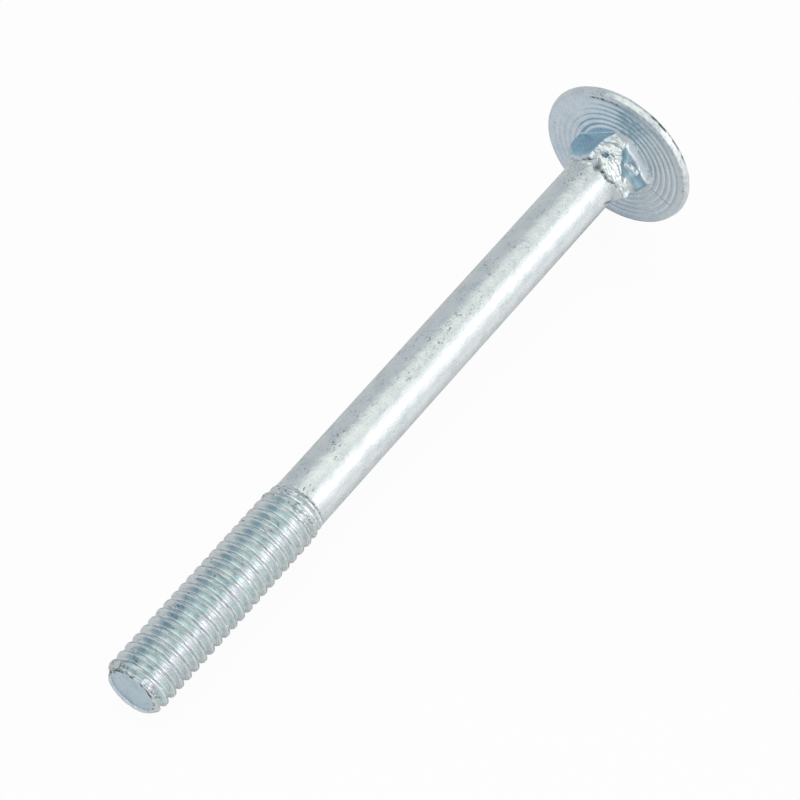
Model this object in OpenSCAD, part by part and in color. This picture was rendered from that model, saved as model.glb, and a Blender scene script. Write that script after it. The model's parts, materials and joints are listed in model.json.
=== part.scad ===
// Carriage bolt, M6 x 70: a mushroom head with turned rings under it, a forged square neck,
// a plain shank that is thinner than the thread, and a rolled metric thread.
// It is drawn upright, with the bearing face of the head at z = 0 and the tip below it,
// and then laid on its side as it comes to rest: on the rim of the head and the thread's end.

/* [Length] */
// From the bearing face of the head to the tip
length = 70; // [45:5:120]
// From the tip to where the thread has run out
thread_len = 22.4; // [14:0.2:36]

/* [Head] */
// Diameter of the head
head_d = 15.5; // [14.4:0.1:17]
// Thickness of the rim, from the bearing face to where the crown starts
rim_t = 0.95; // [0.85:0.05:1.4]
// Rounding of the rim, above and below
rim_round = 0.4; // [0.25:0.05:0.42]
// Radius of the crown
crown_r = 14.2; // [10:0.2:20]

/* [Rings under the head] */
// How many turned rings the bearing face has
rings = 6; // [0:1:6]
// Radius of the innermost ring
ring_first_r = 3.8; // [3.7:0.05:3.85]
// Step from one ring to the next
ring_step = 0.585; // [0.4:0.005:0.6]
// Depth of a ring
ring_depth = 0.1; // [0.05:0.01:0.14]

/* [Square neck] */
// Width across the flats
neck_w = 5.8; // [5.6:0.05:6]
// From the bearing face to where the corners have run down to the shank
neck_len = 3.6; // [2.6:0.1:4.6]
// Turn of the neck about the bolt, from a corner straight up
neck_turn = 11; // [-45:1:45]

/* [Shank] */
// Diameter of the plain shank
shank_d = 5.2; // [5:0.05:5.35]

/* [Thread] */
// Nominal diameter of the thread
nominal_d = 6; // [5.9:0.05:6.2]
// Outer diameter of the thread, which its crests are rolled to
thread_d = 5.8; // [5.6:0.05:5.9]
// Pitch of the thread
pitch = 1; // [0.75:0.05:1.1]
// Where the crest leaves the tip face, as an angle about the bolt
thread_start = 131; // [0:1:359]
// Length over which the last turns fade into the shank
runout = 1.4; // [1:0.1:3]
// Diameter of the flat face at the tip
tip_d = 4.3; // [3.6:0.1:4.4]
// Length of the chamfer at the tip
tip_chamfer = 0.75; // [0.4:0.05:1.2]
// Facets in one turn of the thread
thread_facets = 30; // [16:2:36]

/* [Hidden] */
$fn = 96;

zinc = [0.72, 0.77, 0.80];

// The crown is tangent to the rim's upper rounding at this slope from the horizontal.
rim_core_r = head_d / 2 - rim_round;
crown_slope = asin(rim_core_r / (crown_r - rim_round));
crown_z = rim_t - rim_round - (crown_r - rim_round) * cos(crown_slope);

// What fades into the shank ends this far under its surface.
sunk = 0.06;
fade_r = shank_d / 2 - sunk;

// Forged corners aren't quite sharp: the neck's are rounded off by this much. The arc that they
// follow starts along the bolt at the head and ends inside the shank.
corner_break = 0.05;
corner_r = neck_w / sqrt(2) - corner_break;
corner_rise = corner_r - fade_r;
corner_arc_r = (neck_len ^ 2 + corner_rise ^ 2) / (2 * corner_rise);
corner_arc_angle = asin(neck_len / corner_arc_r);

// A metric thread has 60 degrees between its flanks. At the nominal diameter its crest is an
// eighth of the pitch wide, and its root lies 17/24 of the sharp triangle's height below that.
// Crests under the nominal diameter are wider, and the thread is shallower by as much.
under = (nominal_d - thread_d) / 2;
thread_depth = 17 / 24 * pitch * cos(30) - under;
flank = thread_depth * tan(30);
crest_w = pitch / 8 + 2 * under * tan(30);
// One pitch of it, as [distance towards the head, depth], from the crest's near edge
thread_profile = [[0, 0], [crest_w, 0], [crest_w + flank, thread_depth], [pitch - flank, thread_depth]];
// The faded thread ends inside the shank, this far past its end face.
seat = 0.3;

// Rows of points along the thread: four a turn, with two turns to spare below the tip.
rows = 4 * (ceil((thread_len + seat) / pitch) + 4);
crest_rise = -thread_start / 360 * pitch;

// Height of a row above the tip at one facet's edge, cut off at both ends of the thread
function row_z(edge, row) =
    max(0, min(thread_len + seat, pitch * (floor(row / 4) - 1 + edge / thread_facets) + crest_rise
        + thread_profile[row % 4][0] - crest_w / 2));

// What is left of the thread's height where the last turns fade
function fade(z) = max(0, min(1, (thread_len - z) / runout));

// Radius of the thread at a height above the tip, for a point this deep below the crest
function thread_r(z, depth) =
    min(tip_d / 2 + z * (thread_d - tip_d) / 2 / tip_chamfer,
        fade_r + (thread_d / 2 - depth - fade_r) * fade(z));

function thread_point(edge, row) =
    let (z = row_z(edge, row), r = thread_r(z, thread_profile[row % 4][1]), a = 360 * edge / thread_facets)
    [r * cos(a), r * sin(a), z];

// After a full turn a row goes on as the row one pitch further up.
function point_no(edge, row) = edge < thread_facets ? edge * rows + row : row + 4;

// The angle at which the bolt lies, if it rests on the rim and a crest at this height above the tip
function lie_angle(z) =
    let (dx = length - z + rim_round, dr = rim_core_r - thread_r(z, 0))
    atan(dr / dx) + asin(rim_round / norm([dx, dr]));

// Both edges of the first crests along the line that faces the ground; the bolt rests on the
// one with the least angle.
crest_edges = [for (turn = [1:6]) for (side = [-1, 1]) pitch * turn + crest_rise + side * crest_w / 2];
lie = min([for (z = crest_edges) if (z > 0) lie_angle(z)]);
// Height of the middle of the bearing face above the ground
face_z = rim_round - rim_round * sin(lie) + rim_core_r * cos(lie);
// Middle of the lying bolt's length, measured from there
mid_x = (crown_z * cos(lie) + crown_r - length * cos(lie) - tip_d / 2 * sin(lie)) / 2;

// Points of an arc about a centre, from angle a to angle b
function arc(centre, r, a, b) =
    [for (i = [0:8]) centre + r * [cos(a + (b - a) * i / 8), sin(a + (b - a) * i / 8)]];

module head_profile() {
    difference() {
        union() {
            polygon(concat([[0, 0]],
                arc([rim_core_r, rim_round], rim_round, -90, 0),
                arc([rim_core_r, rim_t - rim_round], rim_round, 0, 90 - crown_slope),
                [[0, rim_t - rim_round + rim_round * cos(crown_slope)]]));
            intersection() {
                translate([0, crown_z]) circle(r = crown_r);
                translate([0, rim_t - rim_round + rim_round * cos(crown_slope)])
                    square([rim_core_r + rim_round * sin(crown_slope), crown_r]);
            }
        }
        for (i = [0:1:rings - 1])
            translate([ring_first_r + i * ring_step, 0]) rotate(45)
                square(ring_depth * sqrt(2), center = true);
    }
}

module head() {
    rotate_extrude() head_profile();
}

// The corners are full at the head and run down to the shank in an arc, the same all round,
// so each flat ends in an arc too.
module neck_outline() {
    polygon(concat([[0, rim_t / 2], [0, -neck_len]],
        arc([corner_r - corner_arc_r, 0], corner_arc_r, -corner_arc_angle, 0),
        [[corner_r, rim_t / 2]]));
}

module neck() {
    intersection() {
        translate([0, 0, -neck_len]) rotate(45 + neck_turn)
            linear_extrude(neck_len + rim_t / 2) square(neck_w, center = true);
        rotate_extrude() neck_outline();
    }
}

module shank() {
    translate([0, 0, thread_len - length]) cylinder(d = shank_d, h = length - thread_len + rim_t / 2);
}

// A closed skin of triangles: rows of points climb around the bolt, and rows that would pass
// an end of the thread lie on it, where the triangles between them vanish and are left out.
module thread() {
    points = [for (edge = [0:thread_facets - 1]) for (row = [0:rows - 1]) thread_point(edge, row)];
    quads = [for (edge = [0:thread_facets - 1])
        for (row = [0:rows - (edge < thread_facets - 1 ? 2 : 6)])
            [point_no(edge, row), point_no(edge, row + 1), point_no(edge + 1, row + 1), point_no(edge + 1, row)]];
    halves = [for (q = quads) for (h = [[q[0], q[1], q[2]], [q[0], q[2], q[3]]]) h];
    skin = [for (t = halves)
        if (points[t[0]] != points[t[1]] && points[t[1]] != points[t[2]] && points[t[2]] != points[t[0]]) t];
    tip_face = [for (edge = [0:thread_facets - 1]) point_no(edge, 0)];
    end_face = [for (edge = [thread_facets - 1:-1:0]) point_no(edge, rows - 1)];
    translate([0, 0, -length]) polyhedron(points = points, faces = concat(skin, [tip_face, end_face]));
}

module bolt() {
    color(zinc) translate([-mid_x, 0, face_z]) rotate([0, 90 - lie, 0]) {
        head();
        neck();
        shank();
        thread();
    }
}

bolt();
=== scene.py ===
import json
import math

import bmesh
import bpy
from mathutils import Matrix, Vector, noise

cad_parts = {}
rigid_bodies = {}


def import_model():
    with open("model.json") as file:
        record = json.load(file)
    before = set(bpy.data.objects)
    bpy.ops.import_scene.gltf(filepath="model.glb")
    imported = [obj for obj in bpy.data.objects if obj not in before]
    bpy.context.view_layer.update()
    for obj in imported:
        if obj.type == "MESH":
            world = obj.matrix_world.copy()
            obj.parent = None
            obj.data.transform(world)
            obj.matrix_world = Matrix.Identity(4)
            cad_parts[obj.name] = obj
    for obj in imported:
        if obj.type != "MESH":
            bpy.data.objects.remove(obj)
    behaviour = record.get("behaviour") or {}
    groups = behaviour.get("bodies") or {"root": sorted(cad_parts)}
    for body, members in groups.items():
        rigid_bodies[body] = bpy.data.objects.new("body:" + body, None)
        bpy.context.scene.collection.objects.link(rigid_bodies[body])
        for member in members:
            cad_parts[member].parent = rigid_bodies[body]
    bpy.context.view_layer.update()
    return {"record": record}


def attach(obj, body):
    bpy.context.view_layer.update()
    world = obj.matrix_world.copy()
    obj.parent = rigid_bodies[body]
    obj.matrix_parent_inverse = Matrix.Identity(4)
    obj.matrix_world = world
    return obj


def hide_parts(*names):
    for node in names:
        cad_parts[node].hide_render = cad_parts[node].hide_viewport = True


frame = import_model()

# ---------------------------------------------------------------- camera
# The bolt lies along X with its head towards +X. The camera looks down on it from beside the
# thread's end, so the bolt runs up and to the right and shows the underside of its head.
MM = 0.001
CAMERA_RISE = math.radians(51.45)
CAMERA_HEADING = math.radians(36.97)
CAMERA_DISTANCE = 239.5 * MM
CAMERA_LENS = 122.8
# The aim is this far down the bolt from the bearing face, and a little right of and below its axis.
AIM_ALONG = 33.57 * MM
AIM_RIGHT = 0.28 * MM
AIM_DOWN = 0.25 * MM

forward = Vector((math.cos(CAMERA_RISE) * math.cos(CAMERA_HEADING),
                  math.cos(CAMERA_RISE) * math.sin(CAMERA_HEADING),
                  -math.sin(CAMERA_RISE)))
right = Vector((math.sin(CAMERA_HEADING), -math.cos(CAMERA_HEADING), 0))
down = forward.cross(right)
mount = next(m for m in frame["record"]["mounts"] if m["name"] == "under_head")
towards_tip = Vector(mount["axis"]).normalized()
bearing_face = Vector((mount["pos_m"][0], 0, mount["pos_m"][2]))
aim = bearing_face + AIM_ALONG * towards_tip + AIM_RIGHT * right + AIM_DOWN * down

bpy.ops.object.camera_add(location=aim - CAMERA_DISTANCE * forward,
                          rotation=(math.pi / 2 - CAMERA_RISE, 0, CAMERA_HEADING - math.pi / 2))
camera = bpy.context.object
camera.data.lens = CAMERA_LENS
bpy.context.scene.camera = camera

# ---------------------------------------------------------------- thread
# The bolt is drawn upright in millimetres: its bearing face at height 0, its tip below, and
# the line that it will rest on towards X. Its M6 thread is rolled between dies, which leaves a
# fine seam along each crest, and rough metal where the dies let go and at the sheared tip.
TIP = -70.0
SHANK_R = 2.6
PITCH = 1.0
CREST_R = 2.9
ROOT_R = 2.387
CREST_HALF = 0.12
FLANK = (CREST_R - ROOT_R) * math.tan(math.radians(30))
SEAM_DEPTH = 0.03
SEAM_HALF = 0.085
TURN_STEPS = 96
TURNS = 27
# Height above the tip at which the crest crosses the line that the bolt rests on
FIRST_CREST = 0.636
THREAD_END = TIP + 22.4
RUNOUT = 1.4
# The chamfer widens from this radius at the tip to the crests.
CHAMFER_R = 2.21
CHAMFER = 0.75
# The sheared face lies inside its lip, leans back on the side that faces up, and is shifted
# that way.
FACE_R = 2.44
FACE_SHIFT = 0.17
FACE_RECESS = 0.23
FACE_LEAN = math.tan(math.radians(3.7))
FACE_UP = math.radians(200)
# Rings of the lip, from the edge of the face inwards, as (distance from the edge, share of the
# lip's height, how ragged). The last two lie flat in the face.
LIP_RINGS = [(0.05, 0.5, 0.3), (0.13, 1, 0.4), (0.21, 0.8, 0.3), (0.28, 0, 0.1), (0.34, 0, 0), (1.1, 0, 0)]
# The lip stands this high above the face, and this much higher on the side that faces down.
LIP_LEAST = 0.04
LIP_MORE = 0.18


def start_profile(name, r, z):
    """A new object whose mesh is one point at radius r and height z, left in edit mode."""
    bpy.ops.object.select_all(action="DESELECT")
    bpy.ops.mesh.primitive_plane_add(size=0.1, location=(0, 0, 0))
    bpy.context.object.name = name
    bpy.ops.object.mode_set(mode="EDIT")
    bpy.ops.mesh.merge(type="CENTER")
    bpy.ops.transform.translate(value=(r, 0, z))


def draw_profile(points):
    """Extrudes the profile's end through points (radius, height)."""
    for (r, z), (next_r, next_z) in zip(points, points[1:]):
        bpy.ops.mesh.extrude_vertices_move(
            TRANSFORM_OT_translate={"value": (next_r - r, 0, next_z - z)})


def select_points(where):
    """Selects the edited mesh's points that where() accepts, and the edges between them."""
    mesh = bmesh.from_edit_mesh(bpy.context.object.data)
    bpy.ops.mesh.select_all(action="DESELECT")
    bpy.context.tool_settings.mesh_select_mode = (True, False, False)
    for point in mesh.verts:
        point.select = where(point)
    mesh.select_flush_mode()
    bmesh.update_edit_mesh(bpy.context.object.data)


def on_open_edge(point):
    return any(edge.is_boundary for edge in point.link_edges)


def angle_of(place):
    """Angle about the bolt in degrees, from the line that it rests on, so 180 faces up."""
    return math.degrees(math.atan2(place.y, place.x)) % 360


def shape_points(rule):
    """Moves each point of the edited mesh to the radius and height that the rule gives."""
    mesh = bmesh.from_edit_mesh(bpy.context.object.data)
    for point in mesh.verts:
        radius = math.hypot(point.co.x, point.co.y)
        if radius > 0:
            new_radius, height = rule(radius, angle_of(point.co), point.co.z)
            point.co = (point.co.x * new_radius / radius, point.co.y * new_radius / radius, height)
    bmesh.update_edit_mesh(bpy.context.object.data)


def window(value, start, end, edge):
    """1 between start and end, falling off to 0 over the edge outside them."""
    return max(0, min(1, 1 + (value - start) / edge, 1 + (end - value) / edge))


def grain(angle, height, radius, size):
    """Smooth noise from -1 to 1 on the bolt's surface, with lumps of this size in mm."""
    a = math.radians(angle)
    return noise.noise(Vector((radius * math.cos(a), radius * math.sin(a), height)) / size)


def face_height(angle, radius):
    """Height of the sheared tip face, which leans back on the side that faces up."""
    return TIP + FACE_RECESS + FACE_LEAN * radius * math.cos(math.radians(angle) - FACE_UP)


def tip_inset(radius, angle):
    """Distance of a point near the tip from the edge where the chamfer starts, inwards."""
    return FACE_R + FACE_SHIFT * math.cos(math.radians(angle) - FACE_UP) - radius


def on_face(radius, angle, height):
    """Whether a point lies on the tip's face or its lip, and not on the chamfer."""
    return height < face_height(angle, radius) + 0.03 and tip_inset(radius, angle) > -0.05


# Half a pitch of the profile, as (distance from the crest's middle, radius): the seam, the
# crest's rounded edge, the flank and the root.
half_pitch = [(0, CREST_R - SEAM_DEPTH), (0.045, CREST_R - SEAM_DEPTH / 2), (SEAM_HALF, CREST_R),
              (CREST_HALF, CREST_R - 0.02)]
for share in (0.16, 0.38, 0.62, 0.86):
    half_pitch.append((CREST_HALF + share * FLANK, CREST_R - share * (CREST_R - ROOT_R)))
half_pitch += [(PITCH / 2 - 0.06, ROOT_R + 0.012), (PITCH / 2, ROOT_R)]
one_pitch = half_pitch + [(PITCH - z, r) for z, r in reversed(half_pitch[:-1])]
# It starts three turns below the tip, and what is too much is cut off.
first_z = TIP + FIRST_CREST - 3 * PITCH
profile = [(r, first_z + z) for z, r in one_pitch]

start_profile("plated_bolt", *profile[0])
draw_profile(profile)
bpy.ops.object.mode_set(mode="OBJECT")
bolt = bpy.context.object
screw = bolt.modifiers.new("thread", "SCREW")
screw.axis = "Z"
screw.angle = 2 * math.pi
screw.screw_offset = PITCH
screw.iterations = TURNS
screw.steps = TURN_STEPS
screw.render_steps = TURN_STEPS
bpy.ops.object.modifier_apply(modifier=screw.name)

bpy.ops.object.mode_set(mode="EDIT")
bpy.ops.mesh.select_all(action="SELECT")
bpy.ops.mesh.remove_doubles(threshold=0.001)
bpy.ops.mesh.select_all(action="SELECT")
bpy.ops.mesh.bisect(plane_co=(0, 0, TIP + FACE_RECESS), clear_inner=True,
                    plane_no=(-FACE_LEAN * math.cos(FACE_UP), -FACE_LEAN * math.sin(FACE_UP), 1))
bpy.ops.mesh.select_all(action="SELECT")
bpy.ops.mesh.bisect(plane_co=(0, 0, THREAD_END + 0.3), plane_no=(0, 0, 1), clear_outer=True)


def thread_shape(radius, angle, height):
    """The last turns fade into the shank, the first ones are cut by the chamfer."""
    up = height - TIP
    past_end = height - THREAD_END
    fade = min(1, max(0, -past_end / RUNOUT))
    chamfer_r = CHAMFER_R + up * (CREST_R - CHAMFER_R) / CHAMFER
    # The chamfer is rounded off where it meets the face.
    chamfer_r -= 0.12 * max(0, 1 - up / 0.2) ** 2
    shaped = min(chamfer_r, SHANK_R + (radius - SHANK_R) * fade)
    # Both ends are rough, in coarse and fine lumps, and the dies were a little uneven.
    rough_end = window(past_end, -1.5, -0.1, 0.5)
    shaped += rough_end * (0.05 * grain(angle, height, shaped, 0.3)
                           + 0.035 * grain(angle, height, shaped, 0.15))
    rough_tip = window(up, 0.1, 0.9, 0.3)
    shaped += rough_tip * (0.12 * grain(angle, height, shaped, 0.5)
                           + 0.08 * grain(angle, height, shaped, 0.22))
    shaped += 0.012 * grain(angle, height, shaped, 0.6)
    # The dies let go along a ragged ridge with a fine groove behind it.
    ragged = 0.8 + grain(angle, 0, 2, 0.4)
    shaped += 0.05 * window(past_end, -0.3, -0.1, 0.12)
    shaped -= 0.05 * window(past_end, 0.04, 0.14, 0.06) * ragged
    return min(shaped, CREST_R), height


shape_points(thread_shape)

# The tip is sheared off, and rolling has pushed a ragged lip over the edge of its face, which
# is highest on the side that faces down.
select_points(lambda p: on_open_edge(p) and p.co.z < TIP + 1)
for inset, lip, ragged in LIP_RINGS:
    bpy.ops.mesh.extrude_region_move()
    mesh = bmesh.from_edit_mesh(bolt.data)
    for point in mesh.verts:
        if point.select:
            angle = angle_of(point.co)
            lump = ragged * grain(angle, 0, 2.1, 0.35)
            radius = tip_inset(inset, angle) + 0.25 * lump
            from_below = (angle + 180) % 360 - 180
            lip_height = lip * (LIP_LEAST + LIP_MORE * window(from_below, -50, 90, 40)) - 0.2 * lump
            turn = radius / math.hypot(point.co.x, point.co.y)
            point.co = (point.co.x * turn, point.co.y * turn, face_height(angle, radius) - max(lip_height, 0))
    bmesh.update_edit_mesh(bolt.data)
bpy.ops.mesh.extrude_region_move()
bpy.ops.mesh.merge(type="CENTER")
bpy.ops.object.mode_set(mode="OBJECT")

# ---------------------------------------------------------------- shank, neck and head
# They are forged from the same wire. The underside of the head has fine turned rings. The
# neck's four flats are pressed, and on the side that faces away from the ground and to the
# right the metal is crushed, with a ragged burr where it ends on the shank.
HEAD_R = 7.75
RIM_T = 0.95
UPPER_ROUND = 0.4
RIM_CORE_R = HEAD_R - UPPER_ROUND
# The rim's lower edge is tighter than its upper one, and the die gave its side some draft.
LOWER_ROUND = 0.16
LOWER_CORE_R = 7.47
DRAFT = math.radians(20)
CROWN_R = 14.2
RINGS = 6
RING_FIRST_R = 3.8
RING_STEP = 0.585
RING_DEPTH = 0.1
NECK_HALF = 2.9
NECK_CORNER_R = 4.05
NECK_LENGTH = 3.6
NECK_SAG = NECK_CORNER_R - SHANK_R + 0.06
NECK_ARC_R = (NECK_LENGTH ** 2 + NECK_SAG ** 2) / (2 * NECK_SAG)
FLAT_ANGLES = (56, 146, 236, 326)
NEAR_FLAT = 236
BROKEN_CORNER = 178
# The marks on the neck end this far from the bearing face.
MARKS_END = 5.5
SPIN_STEPS = 240
# Lines on the neck, as (angle about the bolt, distance from the bearing face): where the metal
# starts to be crushed, and where it ends in a burr.
CRUSHED_FROM = [(160, 0), (203, 0.1), (209, 1.3), (219, 1.75), (240, 2.4), (262, 2.0), (300, 1.5)]
BURR = [(60, 3.4), (115, 3.3), (149, 3.65), (174, 3.3), (186, 3.0), (202, 3.65), (228, 3.85), (243, 3.45),
        (265, 3.2), (293, 2.65), (330, 3.2), (420, 3.4)]
# Middles of single marks on the neck, given in the same way
LUMP = (214, 1.55)
PIT = (191, 2.2)
CREVICE = (194, 3.55)


def depth_of(line, angle):
    """Distance of a line on the neck from the bearing face, at this angle about the bolt."""
    angle = min(max(angle, line[0][0]), line[-1][0])
    for (a0, d0), (a1, d1) in zip(line, line[1:]):
        if a0 <= angle <= a1:
            return d0 + (d1 - d0) * (angle - a0) / (a1 - a0)


def spot(angle, depth, middle, half_angle, half_depth):
    """1 in the middle of an oval mark, falling to 0 at its edge and below 0 outside it."""
    return 1 - math.hypot((angle - middle[0]) / half_angle, (depth - middle[1]) / half_depth)


def burr_depth(angle):
    """How far from the bearing face the ragged burr lies at this angle."""
    return depth_of(BURR, angle if angle >= 60 else angle + 360) + 0.12 * grain(angle, 0, 2.6, 0.4)


def lumps(angle, depth):
    """A ridge of pushed-up metal beside the fillet, and a lump apart from it, from 0 to 1."""
    along_ridge = depth - 1.24 + 0.016 * (angle - 231)
    ridge = window(angle, 234, 258, 5) * window(along_ridge, -0.16, 0.16, 0.15)
    ridge *= 1 + 0.8 * grain(angle, depth, 3, 0.4)
    return min(1, max(ridge, 0.2 + spot(angle, depth, LUMP, 7, 0.3), 0))


def pit(angle, depth):
    """A pit that opens in the crushed metal near the broken corner, from 0 to 1."""
    ragged = 0.5 * grain(angle, depth, 3, 0.25)
    return min(1, 2 * max(0, ragged + spot(angle, depth, PIT, 7.64, 0.42)))


def crevice(angle, depth):
    """A crevice that opens in the burr, from 0 to 1."""
    return max(0, spot(angle, depth, CREVICE, 8.89, 0.5))


def fold(angle, depth, edge):
    """A short fold that runs off slantwise below the burr, from 0 to 1."""
    return window(angle, 268, 290, 4) * window(depth - 3.7 - 0.06 * (290 - angle), -0.05, 0.05, edge)


def crushed(angle, depth):
    """How much the metal is crushed there, from 0 to 1."""
    left = 174 + 10 * max(0, 1 - depth)
    band = window(depth, depth_of(CRUSHED_FROM, angle), burr_depth(angle) - 0.05, 0.15)
    return window(angle, left, 288, 4) * band


def pressed_radius(angle, depth):
    """Radius of the neck as the die pressed it, with flats and corners that run down in an arc."""
    pressed = SHANK_R
    if depth < NECK_LENGTH:
        pressed = NECK_CORNER_R - NECK_ARC_R + math.sqrt(NECK_ARC_R ** 2 - depth ** 2)
    for flat in FLAT_ANGLES:
        facing = math.cos(math.radians(angle - flat))
        if facing > 0.3:
            half = NECK_HALF
            # The flat on the crushed side is wavy, and falls off away from the head.
            if flat == NEAR_FLAT:
                half += 0.07 * grain(angle, depth, 3, 0.8) - 0.07 * max(0, depth - 1.2)
            pressed = min(pressed, half / facing)
    # One corner is broken off, ever deeper over the first millimetre below the head.
    facing = math.cos(math.radians(angle - BROKEN_CORNER))
    if facing > 0.3:
        pressed = min(pressed, (3.55 - 0.36 * min(depth, 1)) / facing)
    return pressed


def crumpled(angle, depth):
    """Height of the folds in the crushed metal, which creases cut into."""
    place = Vector((angle / 24, depth / 0.75, 0))
    folds = noise.noise(place) + 0.5 * noise.noise(place * 2.1) + 0.3 * noise.noise(place * 4.3)
    crease = max(0, 1 - 6 * abs(noise.noise(place * 1.1 + Vector((5, 0, 0)))))
    return 0.15 * folds - 0.06 * crease


def burr_relief(angle, depth):
    """Height of the burr, the groove behind it and the marks beside it."""
    past = depth - burr_depth(angle)
    strength = 0.35 + 0.65 * window(angle, 160, 250, 20)
    relief = 0.05 * strength * window(past, -0.2, -0.12, 0.1)
    relief -= 0.11 * strength * window(past, -0.03, 0.05, 0.08)
    # A flap of metal lies past it.
    relief += 0.1 * window(angle, 156, 176, 6) * window(past, 0.15, 0.4, 0.12)
    return relief - 0.15 * crevice(angle, depth) - 0.1 * fold(angle, depth, 0.12)


def neck_radius(angle, depth):
    """Radius of the neck at this angle and distance from the bearing face."""
    radius = pressed_radius(angle, depth)
    # A fillet runs round the neck at the head, wider on the crushed side.
    fillet = 0.12 + (0.4 + 0.25 * grain(angle, 0, 3, 0.7)) * window(angle, 212, 276, 12)
    if depth < fillet:
        radius += fillet - math.sqrt(fillet ** 2 - (fillet - depth) ** 2)
    amount = crushed(angle, depth)
    beaten_r = 3.06 - 0.07 * max(0, depth - 1.2)
    radius += 0.8 * amount * (beaten_r - radius) * window(depth, 0.8, 9, 0.8)
    if amount > 0:
        radius += amount * crumpled(angle, depth)
    radius += 0.16 * lumps(angle, depth) - 0.3 * pit(angle, depth) + burr_relief(angle, depth)
    return max(radius, SHANK_R - 0.16)


def off_groove(radius):
    """How far a radius is from the middle of the nearest ring's groove: 1 is between two rings."""
    ring = min(RINGS - 1, max(0, round((radius - RING_FIRST_R) / RING_STEP)))
    return min(1, abs(radius - RING_FIRST_R - ring * RING_STEP) / (RING_STEP / 2))


def underside_height(radius, angle):
    """Height of the underside of the head, whose rings are grooves, deepest near one corner."""
    depth = RING_DEPTH * (0.75 + 0.5 * window(angle, 120, 200, 40) * window(radius, 0, 5.2, 0.6))
    return depth * (0.5 + 0.5 * math.cos(math.pi * off_groove(radius))) ** 1.5


def rows(start, end, step):
    """Numbers from start to end, a step apart."""
    return [start + step * i for i in range(round((end - start) / step) + 1)]


def arc(r, z, size, start, end, steps):
    """Points of an arc of this size about (r, z), between two angles in radians."""
    turns = [start + (end - start) * i / steps for i in range(steps + 1)]
    return [(r + size * math.cos(turn), z + size * math.sin(turn)) for turn in turns]


# The profile, as (radius, height): its points lie closest on the neck and on the rings. The
# crown is tangent to the rim's upper edge.
shaft = [(SHANK_R, z) for z in rows(THREAD_END + 0.4, -7.2, 2)]
neck = [(SHANK_R, z) for z in rows(-5.6, -4.8, 0.2) + rows(-4.6, -0.12, 0.08) + [-0.05]]
underside = [(r, 0) for r in rows(2.7, 7.315, 0.065)]
rim = arc(LOWER_CORE_R, LOWER_ROUND, LOWER_ROUND, -math.pi / 2, -DRAFT, 6)
side_r, side_z = rim[-1]
rim += [(side_r + up * math.tan(DRAFT), side_z + up) for up in (0.11, 0.22, 0.33)]
crown_slope = math.asin(RIM_CORE_R / (CROWN_R - UPPER_ROUND))
rim += arc(RIM_CORE_R, RIM_T - UPPER_ROUND, UPPER_ROUND, 0, math.pi / 2 - crown_slope, 8)
crown_z = RIM_T - UPPER_ROUND - (CROWN_R - UPPER_ROUND) * math.cos(crown_slope)
crown = arc(0, crown_z, CROWN_R, math.pi / 2 - 0.95 * crown_slope, math.pi / 2 - 0.05 * crown_slope, 18)
profile = shaft + neck + underside + rim + crown

start_profile("forging", *profile[0])
draw_profile(profile)
bpy.ops.mesh.select_all(action="SELECT")
bpy.ops.mesh.spin(steps=SPIN_STEPS, angle=2 * math.pi, center=(0, 0, 0), axis=(0, 0, 1))
bpy.ops.mesh.select_all(action="SELECT")
bpy.ops.mesh.remove_doubles(threshold=0.001)
# The crown is closed at its middle.
select_points(lambda p: on_open_edge(p) and p.co.z > 0)
bpy.ops.mesh.extrude_region_move()
bpy.ops.mesh.merge(type="CENTER")


def forged_shape(radius, angle, height):
    """Presses the neck, turns the rings and leaves the rim a little uneven."""
    if height < -0.01:
        if height > -MARKS_END:
            return neck_radius(angle, -height), height
        return radius, height
    if height < 0.001 and radius < RIM_CORE_R:
        wall = neck_radius(angle, 0)
        if radius <= wall:
            return wall, 0
        return radius, underside_height(radius, angle)
    if radius > RIM_CORE_R - 0.01:
        uneven = 0.012 * grain(angle, height, radius, 0.9)
        burr = window(height, 0.62, 0.85, 0.08) * window(angle, 150, 260, 30)
        return radius + uneven + 0.03 * burr * grain(angle, 0, 7.7, 0.3), height
    return radius, height


shape_points(forged_shape)
bpy.ops.mesh.select_all(action="SELECT")
bpy.ops.mesh.remove_doubles(threshold=0.002)
bpy.ops.object.mode_set(mode="OBJECT")

# The forging and the thread are one piece of wire.
bpy.ops.object.select_all(action="SELECT")
for thing in bpy.context.selected_objects:
    thing.select_set(thing.name in ("plated_bolt", "forging"))
bpy.context.view_layer.objects.active = bolt
bpy.ops.object.join()
bpy.ops.object.mode_set(mode="EDIT")
select_points(on_open_edge)
bpy.ops.mesh.bridge_edge_loops()
bpy.ops.mesh.select_all(action="SELECT")
bpy.ops.mesh.normals_make_consistent(inside=False)
bpy.ops.object.mode_set(mode="OBJECT")

# ---------------------------------------------------------------- stains and wear
# Forging, rolling and turning left worked metal and grey residue, and the passivation's blue
# and teal lie thicker in some places. Some of these marks also hold painted shade, painted highlights and
# painted reflections. Each is painted on the points of the bolt while it stands upright, by angle, radius and
# height, and the plating's material reads it.


def paint(name, rule):
    """Gives each point of the bolt a value from the rule of radius, angle and height."""
    layer = bolt.data.attributes.new(name=name, type="FLOAT", domain="POINT")
    for point, value in zip(bolt.data.vertices, layer.data):
        radius = math.hypot(point.co.x, point.co.y)
        value.value = max(0, min(1, rule(radius, angle_of(point.co), point.co.z)))


def on_underside(radius, height):
    return -0.5 < height < 0.2 and radius < RIM_CORE_R


def worked(angle, depth):
    """How much the neck's metal is crushed or pushed up. It is below 0 in the pit."""
    return max(crushed(angle, depth), lumps(angle, depth)) - 1.6 * pit(angle, depth)


def stain(radius, angle):
    """A teal stain runs out in streaks over the rings from the broken corner."""
    streaks = max(0, 0.7 + 1.2 * grain(angle, 0, radius, 0.4))
    return window(angle, 185, 206, 8) * window(radius, 4, 6.3, 0.5) * streaks


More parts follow.
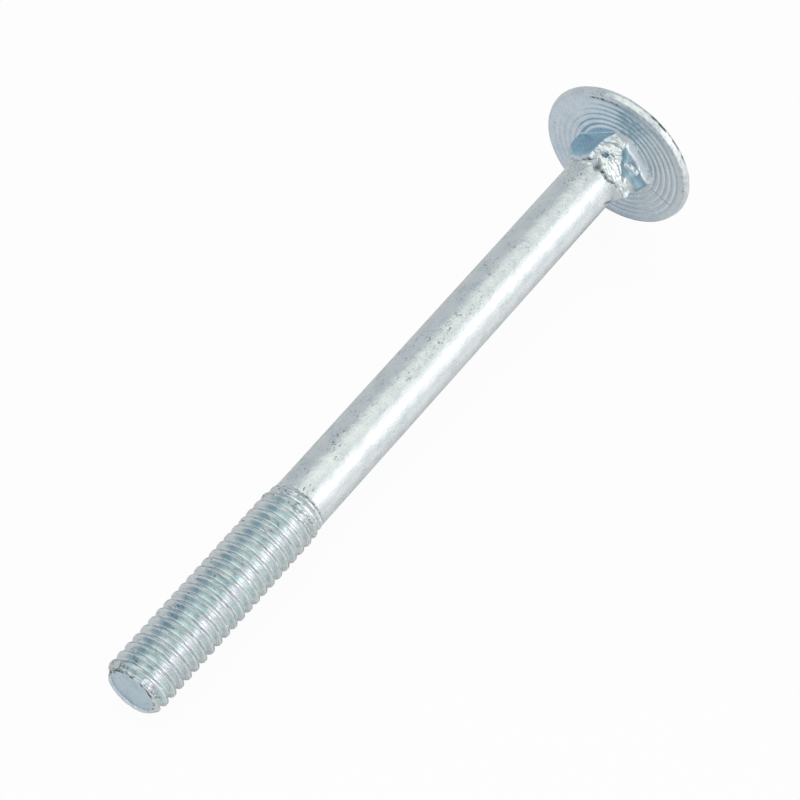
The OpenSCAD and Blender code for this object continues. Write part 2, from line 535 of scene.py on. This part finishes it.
def blue_tint(radius, angle, height):
    """The neck's flats are bluest, the head and the sheared tip paler. The blue is partly the passivation's
    own and partly painted reflection: of the shaded table in the head and the tip, and of the head in the
    neck's flats.
    """
    if height > -0.01:
        if radius > RIM_CORE_R:
            on_side = window(radius, RIM_CORE_R + 0.1, HEAD_R + 1, 0.15) * window(height, -1, RIM_T, 0.05)
            return 0.5 - 0.4 * on_side
        if not on_underside(radius, height):
            return 0.4
        # Teal stains lie beside the neck, and over the rings from the broken corner.
        beside_neck = window(angle, 280, 300, 6) * window(radius, 2.9, 3.5, 0.2)
        return 0.5 + 0.5 * max(stain(radius, angle), beside_neck)
    if height > -MARKS_END:
        depth = -height
        fillet_end = 0.6 * window(angle, 205, 276, 12)
        flats = window(depth, fillet_end, burr_depth(angle) - 0.3, 0.15)
        near_head = 0.5 * window(depth, -1, 0.6, 0.3)
        return max(near_head, flats, pit(angle, depth)) * (1 - max(0, worked(angle, depth)))
    # The sheared tip's blue is painted reflection of the shaded table.
    return 0.7 if height < TIP + 1 and tip_inset(radius, angle) > 0.25 else 0


def thread_cast(radius, angle, height):
    """The thread's tint: lavender white at 0, pale green at 0.5 and blue at 1. Its teal and blue by angle are
    painted shade; its cloudy part is the passivation's own.
    """
    if height > THREAD_END:
        return 0
    # Teal and blue on the side that faces up, and teal from 245 to 290 degrees, are painted shade.
    upper = 0.5 * window(angle, 152, 207, 12) + 0.45 * window(angle, 152, 170, 8)
    return upper + 0.35 * window(angle, 245, 290, 15) + 0.5 * grain(angle, height, 2.9, 0.8)


def pitted(radius, angle, height):
    """Where pinholes show: mostly on the side that faces up, and least under the head."""
    if height > -4:
        return 0.4 if height > RIM_T else 0.1
    return 0.25 + 0.75 * window(angle, 130, 196, 20)


def past_crest(angle, height):
    """Distance from the nearest crest of the thread towards the head, in pitches."""
    turns = (height - TIP - FIRST_CREST) / PITCH - angle / 360
    return turns - round(turns)


def bare_thread(angle, height):
    """The dies burnished each crest's edge towards the tip, and tore the metal where they let go. From 100 to
    146 degrees the thread is painted lighter, a painted reflection.
    """
    edge = window(past_crest(angle, height), -0.14, -0.09, 0.03)
    edge *= 0.6 + 0.8 * grain(angle, height, 2.9, 0.6)
    torn = window(height, THREAD_END - 1.6, THREAD_END, 0.3)
    torn *= 0.4 + 1.4 * grain(angle, height, 2.6, 0.2)
    # Painted reflection from 100 to 146 degrees
    return max(edge, torn, 0.5 * window(angle, 100, 146, 10))


def bare_metal(radius, angle, height):
    """Crushed and worked metal is rough and white. The rim's white band is painted highlight, and a lighter
    sector of the turned face is painted reflection.
    """
    if radius > RIM_CORE_R:
        # A white band on the rim's side is painted highlight, and rougher too.
        white = window(angle, 180, 262, 20) * window(height, -1, 0.75, 0.05)
        return white * (0.15 + 1.1 * grain(angle, height, radius, 0.5))
    if height > 0.2:
        return 0
    if height > -0.55:
        # The fillet on the crushed side and the crescent between it and the rings are
        # burnished. The turned face beside them is painted lighter from 225 to 320 degrees, a painted
        # reflection of the lit table.
        crescent = window(angle, 204, 278, 4) * window(radius, 0, 3.55, 0.08)
        scoured = 0.4 * window(angle, 225, 320, 30)
        return max(crescent * (0.5 + 0.5 * grain(angle, height, radius, 0.6)), scoured)
    if height > -MARKS_END:
        return worked(angle, -height)
    if height > THREAD_END:
        return 0
    if height >= TIP + 1:
        return bare_thread(angle, height)
    if on_face(radius, angle, height):
        return window(tip_inset(radius, angle), -1, 0.22, 0.05)
    return 2.2 * grain(angle, height, radius, 0.45) * window(angle, 120, 260, 20)


def tip_residue(radius, angle, height):
    """It darkens the ragged edge of the face, and speckles the chamfer."""
    if on_face(radius, angle, height):
        edge = window(tip_inset(radius, angle), 0.04, 0.22, 0.05) * window(angle, 115, 275, 15)
        return edge * (0.6 + 1.5 * grain(angle, height, 2.1, 0.25))
    up = height - TIP
    speckled = window(up, 0.3, 1, 0.15) * window(angle, 125, 262, 20)
    slant = window(angle, 142, 156, 4) * window(up - 0.54 - 0.025 * (angle - 142), -0.04, 0.04, 0.06)
    return max(0.6 * slant, speckled * (2.2 * grain(angle, height, 2.6, 0.16) - 0.35))


def thread_residue(angle, height):
    """It lies in the seam and where the dies let go. A dark band on each crest's far half is painted shade,
    and short dark ticks in one row are a painted reflection.
    """
    past_end = height - THREAD_END
    end_line = window(past_end, 0.04, 0.1, 0.04) * window(angle, 194, 236, 25)
    end_line *= 0.6 + 2.2 * grain(angle, 0, 2, 0.17)
    specks = window(past_end, -1.5, 0, 0.3) * (1.5 * grain(angle, height, 2.6, 0.13) - 0.15)
    past = past_crest(angle, height)
    seam = window(past, -0.01, 0.015, 0.03) * (0.6 + grain(angle, height, 2.9, 0.4))
    # Painted shade along each crest's far half
    film = 0.32 * window(past, 0.05, 0.2, 0.04) * (0.7 + 1.2 * grain(angle, height, 2.9, 0.7))
    # Painted reflection: short dark ticks in one row
    nick = 0.4 * window(angle, 198, 208, 4) * window(past, -0.27, -0.21, 0.04)
    return max(end_line, specks, seam, film, nick * (0.5 + 2 * grain(0, height, 0, 0.9)))


def underside_residue(radius, angle):
    """It lies in a scratch, in the stain and in burrs along the edge, darkens a line along the edge, and
    darkens the grooves on one side as painted shade.
    """
    scratch = window(angle, 291.8, 293.2, 0.3) * window(radius, 4.5, 6.7, 0.1)
    burrs = 2 * window(angle, 153, 179, 4) * (0.25 + grain(angle, 0, 7, 0.3))
    edge = window(radius, 7.0, 7.14, 0.06) * max(burrs, 0.35 * window(angle, 165, 222, 15))
    # Darkening in the grooves from 185 to 285 degrees is painted shade.
    grooves = 0.26 * window(angle, 185, 285, 25) * window(off_groove(radius), -1, 0.12, 0.25)
    return max(0.4 * scratch, 0.15 * stain(radius, angle), edge, grooves)


def rim_residue(radius, angle, height):
    """It darkens a line along the rim's upper edge, and lies in faint smudges and in one dent."""
    line = window(height, 0.56, 0.74, 0.08) * window(angle, 208, 238, 12)
    smudge = window(angle, 160, 270, 20) * (0.05 + 0.5 * grain(angle, 2 * height, 7, 0.3))
    dent = spot(angle, radius, (268, 7.4), 1.54, 0.2)
    return max(line * (0.8 + 1.3 * grain(angle, 0, 7, 0.4)), smudge, dent)


def neck_residue(angle, depth):
    """It fills the burr's groove, the crevice and the fold, and darkens part of the near flat with painted
    shade.
    """
    past = depth - burr_depth(angle)
    groove = (0.4 + 0.6 * window(angle, 165, 250, 20)) * window(past, -0.03, 0.04, 0.06)
    groove *= 0.55 + 0.9 * grain(angle, -depth, 2.6, 0.3)
    smooth = 1 - max(lumps(angle, depth), crushed(angle, depth))
    # Painted shade on part of the near flat
    dull = 0.3 * window(angle, 204, 284, 5) * window(depth, 0.6, 2.4, 0.15) * smooth
    in_fold = 0.7 * fold(angle, depth, 0.1)
    return max(groove, 0.9 * crevice(angle, depth), in_fold, dull, 0.4 * pit(angle, depth))


def residue(radius, angle, height):
    """Grey residue sits in the burrs, the grooves beside them and the edges of the tip; painted shade and a
    painted dark reflection are added on the thread, in the rings' grooves and on the neck's near flat.
    """
    if height < TIP + 1:
        return tip_residue(radius, angle, height)
    if height < THREAD_END + 0.4:
        return thread_residue(angle, height)
    if height < -MARKS_END:
        return 0
    if height < -0.5:
        return neck_residue(angle, -height)
    if radius > RIM_CORE_R - 0.01:
        return rim_residue(radius, angle, height)
    return underside_residue(radius, angle) if on_underside(radius, height) else 0


paint("blue_tint", blue_tint)
paint("residue", residue)
paint("bare_metal", bare_metal)
paint("thread_cast", thread_cast)
paint("pitted", pitted)

# ---------------------------------------------------------------- lying bolt
# The head came out of the die a little skew: it leans, and it sits off the shank's centre. The
# neck takes up the difference. The bolt then lies down on its rim and its thread.
HEAD_LEAN_X = math.radians(-0.6)
HEAD_LEAN_Y = math.radians(2.2)
HEAD_SHIFT = Vector((-0.03, -0.23, 0))
# The skew starts this far down the neck.
SKEW_FROM = 1.5

skew = Matrix.Rotation(HEAD_LEAN_Y, 3, "Y") @ Matrix.Rotation(HEAD_LEAN_X, 3, "X")
for point in bolt.data.vertices:
    share = max(0, min(1, 1 + point.co.z / SKEW_FROM))
    point.co = point.co.lerp(skew @ point.co + HEAD_SHIFT, share)

lying = math.pi / 2 - math.asin(-towards_tip.z)
bolt.scale = (MM, MM, MM)
bolt.rotation_euler = (0, lying, 0)
bolt.location = bearing_face
bpy.ops.object.select_all(action="DESELECT")
bolt.select_set(True)
bpy.context.view_layer.objects.active = bolt
bpy.ops.object.transform_apply(location=True, rotation=True, scale=True)
bpy.ops.object.shade_smooth_by_angle(angle=math.radians(40))

# ---------------------------------------------------------------- zinc plating
# Bright zinc, barrel-plated over steel and clear-passivated: a soft mirror, whiter on the
# shank, bluer on the head partly by painted reflection, with the steel's fine grain and dark pinholes showing
# through.
def linear(colour):
    """A hex sRGB colour as the linear colour that a shader takes."""
    parts = [int(colour[i:i + 2], 16) / 255 for i in (1, 3, 5)]
    return [p / 12.92 if p <= 0.04045 else ((p + 0.055) / 1.055) ** 2.4 for p in parts] + [1]


def add_node(tree, kind, settings=None, links=None):
    """A node of this kind, with its sockets and properties set and its inputs linked."""
    made = tree.nodes.new(kind)
    for name, value in (settings or {}).items():
        if isinstance(name, int) or name in made.inputs:
            made.inputs[name].default_value = value
        else:
            setattr(made, name, value)
    for name, source in (links or {}).items():
        tree.links.new(source, made.inputs[name])
    return made


zinc = bpy.data.materials.new("bright_zinc")
zinc.use_nodes = True
tree = zinc.node_tree
tree.nodes.clear()
tinted = add_node(tree, "ShaderNodeAttribute", {"attribute_name": "blue_tint"}).outputs["Fac"]
dirty = add_node(tree, "ShaderNodeAttribute", {"attribute_name": "residue"}).outputs["Fac"]
bare = add_node(tree, "ShaderNodeAttribute", {"attribute_name": "bare_metal"}).outputs["Fac"]
cast = add_node(tree, "ShaderNodeAttribute", {"attribute_name": "thread_cast"}).outputs["Fac"]
pit_share = add_node(tree, "ShaderNodeAttribute", {"attribute_name": "pitted"}).outputs["Fac"]

# Patterns are laid out on the upright bolt, in millimetres.
place = add_node(tree, "ShaderNodeTexCoord").outputs["Object"]
upright = add_node(tree, "ShaderNodeMapping",
                   {"Scale": (1 / MM, 1 / MM, 1 / MM), "Rotation": (0, -lying, 0),
                    "Location": -(Matrix.Rotation(-lying, 3, "Y") @ bearing_face) / MM},
                   {"Vector": place}).outputs[0]
along = add_node(tree, "ShaderNodeSeparateXYZ", links={0: upright}).outputs["Z"]
on_thread = add_node(tree, "ShaderNodeMapRange",
                     {"From Min": THREAD_END - 0.4, "From Max": THREAD_END, "To Min": 1.0, "To Max": 0.0},
                     {"Value": along}).outputs[0]

# The colours: the thread's tint, partly painted shade, and the shank's, then the two blues.
thread_ramp = add_node(tree, "ShaderNodeValToRGB", links={0: cast})
thread_ramp.color_ramp.elements[0].color = linear("#e0e3e7")
thread_ramp.color_ramp.elements[1].color = linear("#c5d6de")
thread_ramp.color_ramp.elements.new(0.5).color = linear("#dae8e9")
colour = add_node(tree, "ShaderNodeMix", {"data_type": "RGBA", 6: linear("#d9e0e3")},
                  {0: on_thread, 7: thread_ramp.outputs[0]}).outputs[2]
# The two blues are partly painted reflection of the shaded table and of the head.
pale_blue = add_node(tree, "ShaderNodeMapRange", {"From Max": 0.5}, {"Value": tinted}).outputs[0]
colour = add_node(tree, "ShaderNodeMix", {"data_type": "RGBA", 7: linear("#dfebf6")},
                  {0: pale_blue, 6: colour}).outputs[2]
deep_blue = add_node(tree, "ShaderNodeMapRange", {"From Min": 0.5}, {"Value": tinted}).outputs[0]
colour = add_node(tree, "ShaderNodeMix", {"data_type": "RGBA", 7: linear("#aaccda")},
                  {0: deep_blue, 6: colour}).outputs[2]

# Cloudy patches of 1 to 3 mm are a little darker.
clouds = add_node(tree, "ShaderNodeTexNoise", {"Scale": 0.7, "Detail": 4.0, "Roughness": 0.55},
                  {"Vector": upright}).outputs["Fac"]
patches = add_node(tree, "ShaderNodeMapRange", {"From Min": 0.45, "From Max": 0.62, "To Max": 0.22},
                   {"Value": clouds}).outputs[0]
colour = add_node(tree, "ShaderNodeMix",
                  {"data_type": "RGBA", "blend_type": "MULTIPLY", 7: linear("#c3ccd6")},
                  {0: patches, 6: colour}).outputs[2]
# Bare metal, the painted highlight and the painted reflections lighten towards #eaf0f1.
colour = add_node(tree, "ShaderNodeMix", {"data_type": "RGBA", 7: linear("#eaf0f1")},
                  {0: bare, 6: colour}).outputs[2]

# Pinholes of 0.2 mm lie in clusters of 3 mm. Along the wire they are drawn out a little, and on
# the thread they are drawn out around it.
along_wire = add_node(tree, "ShaderNodeMapping", {"Scale": (1.15, 1.15, 0.6)},
                      {"Vector": upright}).outputs[0]
around_wire = add_node(tree, "ShaderNodeMapping", {"Scale": (0.3, 0.3, 2.0)},
                       {"Vector": upright}).outputs[0]
pin_place = add_node(tree, "ShaderNodeMix", {"data_type": "VECTOR"},
                     {0: on_thread, 4: along_wire, 5: around_wire}).outputs[1]
pins = add_node(tree, "ShaderNodeTexNoise", {"Scale": 4.5, "Detail": 1.5, "Distortion": 1.2},
                {"Vector": pin_place}).outputs["Fac"]
pinholes = add_node(tree, "ShaderNodeMapRange", {"From Min": 0.58, "From Max": 0.7, "To Max": 0.9},
                    {"Value": pins}).outputs[0]
clusters = add_node(tree, "ShaderNodeTexNoise", {"Scale": 0.35, "Detail": 2.0},
                    {"Vector": upright}).outputs["Fac"]
clusters = add_node(tree, "ShaderNodeMapRange", {"From Min": 0.42, "From Max": 0.58, "To Min": 0.15},
                    {"Value": clusters}).outputs[0]
pinholes = add_node(tree, "ShaderNodeMath", {"operation": "MULTIPLY"},
                    {0: pinholes, 1: clusters}).outputs[0]
pinholes = add_node(tree, "ShaderNodeMath", {"operation": "MULTIPLY"},
                    {0: pinholes, 1: pit_share}).outputs[0]
colour = add_node(tree, "ShaderNodeMix",
                  {"data_type": "RGBA", "blend_type": "MULTIPLY", 7: linear("#8f9a9f")},
                  {0: pinholes, 6: colour}).outputs[2]
# Residue and painted shade darken towards #56646a.
colour = add_node(tree, "ShaderNodeMix", {"data_type": "RGBA", 7: linear("#56646a")},
                  {0: dirty, 6: colour}).outputs[2]

# The grain of 0.3 mm is that of the pickled wire's skin. Worked metal and residue are rougher, and so are the
# painted shade and highlight.
pores = add_node(tree, "ShaderNodeTexNoise", {"Scale": 3.5, "Detail": 2.0, "Roughness": 0.6},
                 {"Vector": upright}).outputs["Fac"]
rough = add_node(tree, "ShaderNodeMapRange",
                 {"From Min": 0.35, "From Max": 0.65, "To Min": 0.2, "To Max": 0.32},
                 {"Value": pores}).outputs[0]
rough = add_node(tree, "ShaderNodeMix", {3: 0.36}, {0: bare, 2: rough}).outputs[0]
rough = add_node(tree, "ShaderNodeMix", {3: 0.6}, {0: dirty, 2: rough}).outputs[0]

# The surface waves by 0.08 mm, and where the blue tint is weak the grain stands 0.013 mm high.
waves = add_node(tree, "ShaderNodeBump", {"Distance": 0.08 * MM}, {"Height": clouds}).outputs[0]
thin_film = add_node(tree, "ShaderNodeMapRange", {"From Max": 0.4, "To Min": 1.0, "To Max": 0.1},
                     {"Value": tinted}).outputs[0]
surface = add_node(tree, "ShaderNodeBump", {"Distance": 0.013 * MM},
                   {"Strength": thin_film, "Height": pores, "Normal": waves}).outputs[0]
shader = add_node(tree, "ShaderNodeBsdfPrincipled", {"Metallic": 1.0},
                  {"Base Color": colour, "Roughness": rough, "Normal": surface})
add_node(tree, "ShaderNodeOutputMaterial", links={"Surface": shader.outputs[0]})
bolt.data.materials.clear()
bolt.data.materials.append(zinc)
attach(bolt, "root")
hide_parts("bolt")

# ---------------------------------------------------------------- studio
# A satin white table in a white tent that is brightest overhead. The table shows as white, and
# a share of that white shows in the metal too.
SEEN_WHITE = 0.95
MIRRORED_WHITE = 0.15
TENT_SIDE = (0.65, 0.67, 0.685, 1)
TENT_TOP = (1.24, 1.235, 1.15, 1)

bpy.ops.object.select_all(action="DESELECT")
bpy.ops.mesh.primitive_plane_add(size=4, location=(0, 0, 0))
table = bpy.context.object
table.name = "table"
laminate = bpy.data.materials.new("white_laminate")
laminate.use_nodes = True
tree = laminate.node_tree
tree.nodes.clear()
rays = add_node(tree, "ShaderNodeLightPath")
mirrored = add_node(tree, "ShaderNodeMath", {"operation": "MULTIPLY", 1: MIRRORED_WHITE},
                    {0: rays.outputs["Is Glossy Ray"]})
white_share = add_node(tree, "ShaderNodeMath", {"operation": "MULTIPLY_ADD", 1: SEEN_WHITE},
                       {0: rays.outputs["Is Camera Ray"], 2: mirrored.outputs[0]})
satin = add_node(tree, "ShaderNodeBsdfPrincipled",
                 {"Base Color": (0.75, 0.75, 0.75, 1), "Metallic": 0.35, "Roughness": 0.3})
white = add_node(tree, "ShaderNodeEmission", {"Color": (1, 1, 1, 1), "Strength": 1.0})
mixed = add_node(tree, "ShaderNodeMixShader",
                 links={0: white_share.outputs[0], 1: satin.outputs[0], 2: white.outputs[0]})
add_node(tree, "ShaderNodeOutputMaterial", links={"Surface": mixed.outputs[0]})
table.data.materials.append(laminate)

world = bpy.data.worlds.new("studio")
bpy.context.scene.world = world
world.use_nodes = True
tree = world.node_tree
tree.nodes.clear()
direction = add_node(tree, "ShaderNodeTexCoord").outputs["Generated"]
rise = add_node(tree, "ShaderNodeSeparateXYZ", links={0: direction}).outputs["Z"]
overhead = add_node(tree, "ShaderNodeMapRange",
                    {"interpolation_type": "SMOOTHSTEP", "From Min": 0.72, "From Max": 1.0},
                    {"Value": rise}).outputs[0]
tent = add_node(tree, "ShaderNodeMix", {"data_type": "RGBA", 6: TENT_SIDE, 7: TENT_TOP},
                {0: overhead}).outputs[2]
sky = add_node(tree, "ShaderNodeBackground", {"Strength": 1.0}, {"Color": tent})
add_node(tree, "ShaderNodeOutputWorld", links={"Surface": sky.outputs[0]})


def softbox(name, azimuth, rise, distance, width, height, radiance, colour):
    """A softbox that faces the bolt from this azimuth and rise, both in degrees."""
    a, e = math.radians(azimuth), math.radians(rise)
    place = distance * Vector((math.cos(e) * math.cos(a), math.cos(e) * math.sin(a), math.sin(e)))
    bpy.ops.object.light_add(type="AREA", location=place,
                             rotation=(-place).to_track_quat("-Z", "Y").to_euler())
    lamp = bpy.context.object
    lamp.name = name
    lamp.data.shape = "RECTANGLE"
    lamp.data.size = width
    lamp.data.size_y = height
    lamp.data.energy = radiance * math.pi * width * height
    lamp.data.color = colour


# A broad softbox stands on the near side of the bolt, with a brighter strip behind its cloth.
softbox("side_light", azimuth=-61, rise=27, distance=1.0, width=1.7, height=1.06, radiance=0.64,
        colour=(1.0, 0.94, 0.895))
softbox("side_lamp", azimuth=-61, rise=28, distance=1.1, width=1.2, height=0.28, radiance=1.2,
        colour=(1.0, 0.935, 0.89))

bpy.context.scene.view_settings.view_transform = "Standard"
